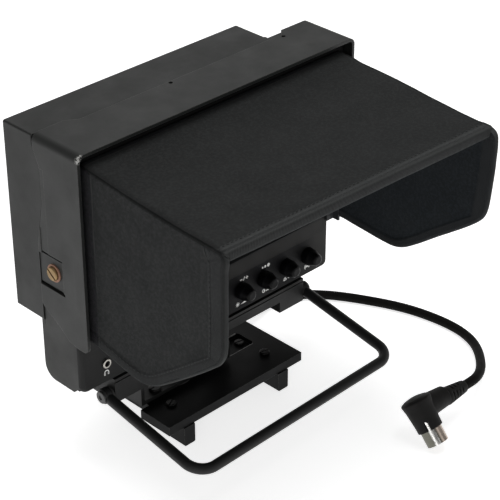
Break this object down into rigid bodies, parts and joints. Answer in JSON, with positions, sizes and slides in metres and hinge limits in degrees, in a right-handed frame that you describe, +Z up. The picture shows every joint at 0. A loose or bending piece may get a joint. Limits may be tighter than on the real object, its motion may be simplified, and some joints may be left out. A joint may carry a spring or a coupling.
{
  "type": "studio camera viewfinder",
  "caption": "Flat studio camera viewfinder with sheet visor, fabric hood, rotary controls, swinging bail handle, pan-and-tilt shoe and short cable with angled round plug.",
  "frame": {"origin": "on the surface the two rails stand on, under the middle of the object's box (cable and plug left out)", "axes": "+X to the right for a person facing the screen, +Y away from that person, +Z up"},
  "size_m": [0.2802, 0.1946, 0.2188],
  "materials": {
    "visor_paint": "satin",
    "housing_paint": "satin",
    "body_moulding": "matte",
    "bezel_moulding": "matte",
    "glass": "gloss",
    "lcd": "satin",
    "panel_metal": "satin",
    "board": "satin",
    "fixing_steel": "satin",
    "pot_body": "satin",
    "socket_plastic": "matte",
    "nickel": "polished",
    "hood_fabric": "matte",
    "hood_strip": "matte",
    "black_metal": "satin",
    "plate_metal": "satin",
    "rod_black": "satin",
    "pivot_cap": "satin",
    "bush_nylon": "matte",
    "screw_black": "gloss",
    "brass_screw": "worn",
    "fibre_washer": "matte",
    "knob_plastic": "matte",
    "cable_jacket": "satin",
    "cable_rubber": "satin",
    "plug_insulator": "matte",
    "contact_brass": "polished"
  },
  "bodies": {
    "mount": {"mount_plate": "plate_metal", "rail_left": "plate_metal", "rail_right": "plate_metal", "rail_screws": "screw_black", "pan_bolt": "fixing_steel", "pan_nut": "fixing_steel", "pan_thrust_washer": "bush_nylon", "cable_block": "black_metal", "cable_gland": "cable_rubber", "cable": "cable_jacket", "strain_relief": "cable_rubber", "plug_body": "cable_rubber", "plug_shell": "nickel", "plug_insert": "plug_insulator", "plug_pins": "contact_brass"},
    "pan_yoke": {"yoke": "black_metal", "tilt_bushes": "bush_nylon", "pan_friction_screw": "screw_black"},
    "head": {"backlight_unit": "panel_metal", "bail_pivots": "pivot_cap", "bail_washers": "bush_nylon", "board_standoffs": "fixing_steel", "bracket_screws": "fixing_steel", "control_board": "board", "control_housing": "body_moulding", "front_bezel": "bezel_moulding", "headphone_socket": "socket_plastic", "hood_frame": "hood_strip", "hood_side_panels": "hood_fabric", "hood_top_panel": "hood_fabric", "lcd_panel": "lcd", "main_board": "board", "panel_straps": "panel_metal", "pot_nuts": "fixing_steel", "potentiometers": "pot_body", "rear_cover": "housing_paint", "rear_cover_screws": "screw_black", "rear_housing": "housing_paint", "screen_glass": "glass", "screen_housing": "housing_paint", "socket_ring": "nickel", "tilt_bracket": "black_metal", "tilt_collar": "black_metal", "tilt_friction_washers": "bush_nylon", "tilt_shaft": "fixing_steel", "tilt_spring_washer": "fixing_steel", "visor_frame": "visor_paint", "visor_screws": "brass_screw", "visor_washers": "fibre_washer"},
    "bail": {"bail_rod": "rod_black", "bail_hubs": "rod_black"},
    "control_knob_1": {"knob_1": "knob_plastic", "pot_shaft_1": "fixing_steel"},
    "control_knob_2": {"knob_2": "knob_plastic", "pot_shaft_2": "fixing_steel"},
    "control_knob_3": {"knob_3": "knob_plastic", "pot_shaft_3": "fixing_steel"},
    "control_knob_4": {"knob_4": "knob_plastic", "pot_shaft_4": "fixing_steel"}
  },
  "joints": [
    {"name": "pan", "type": "hinge", "parent": "mount", "child": "pan_yoke", "pos_m": [-0.0229, 0.05165, 0.022], "axis": [0, 0, 1], "range_deg": [-30, 30]},
    {"name": "tilt", "type": "hinge", "parent": "pan_yoke", "child": "head", "pos_m": [-0.0229, 0.05165, 0.0465], "axis": [1, 0, 0], "range_deg": [-30, 10]},
    {"name": "bail_swing", "type": "hinge", "parent": "head", "child": "bail", "pos_m": [-0.00465, 0.0368, 0.0452], "axis": [1, 0, 0], "range_deg": [-50, 8]},
    {"name": "knob_1_turn", "type": "hinge", "parent": "head", "child": "control_knob_1", "pos_m": [0.0195, 0.031, 0.0732], "axis": [0, 1, 0], "range_deg": [-140, 140]},
    {"name": "knob_2_turn", "type": "hinge", "parent": "head", "child": "control_knob_2", "pos_m": [0.0392, 0.031, 0.0732], "axis": [0, 1, 0], "range_deg": [-140, 140]},
    {"name": "knob_3_turn", "type": "hinge", "parent": "head", "child": "control_knob_3", "pos_m": [0.059, 0.031, 0.0732], "axis": [0, 1, 0], "range_deg": [-140, 140]},
    {"name": "knob_4_turn", "type": "hinge", "parent": "head", "child": "control_knob_4", "pos_m": [0.0788, 0.031, 0.0732], "axis": [0, 1, 0], "range_deg": [-140, 140]}
  ]
}
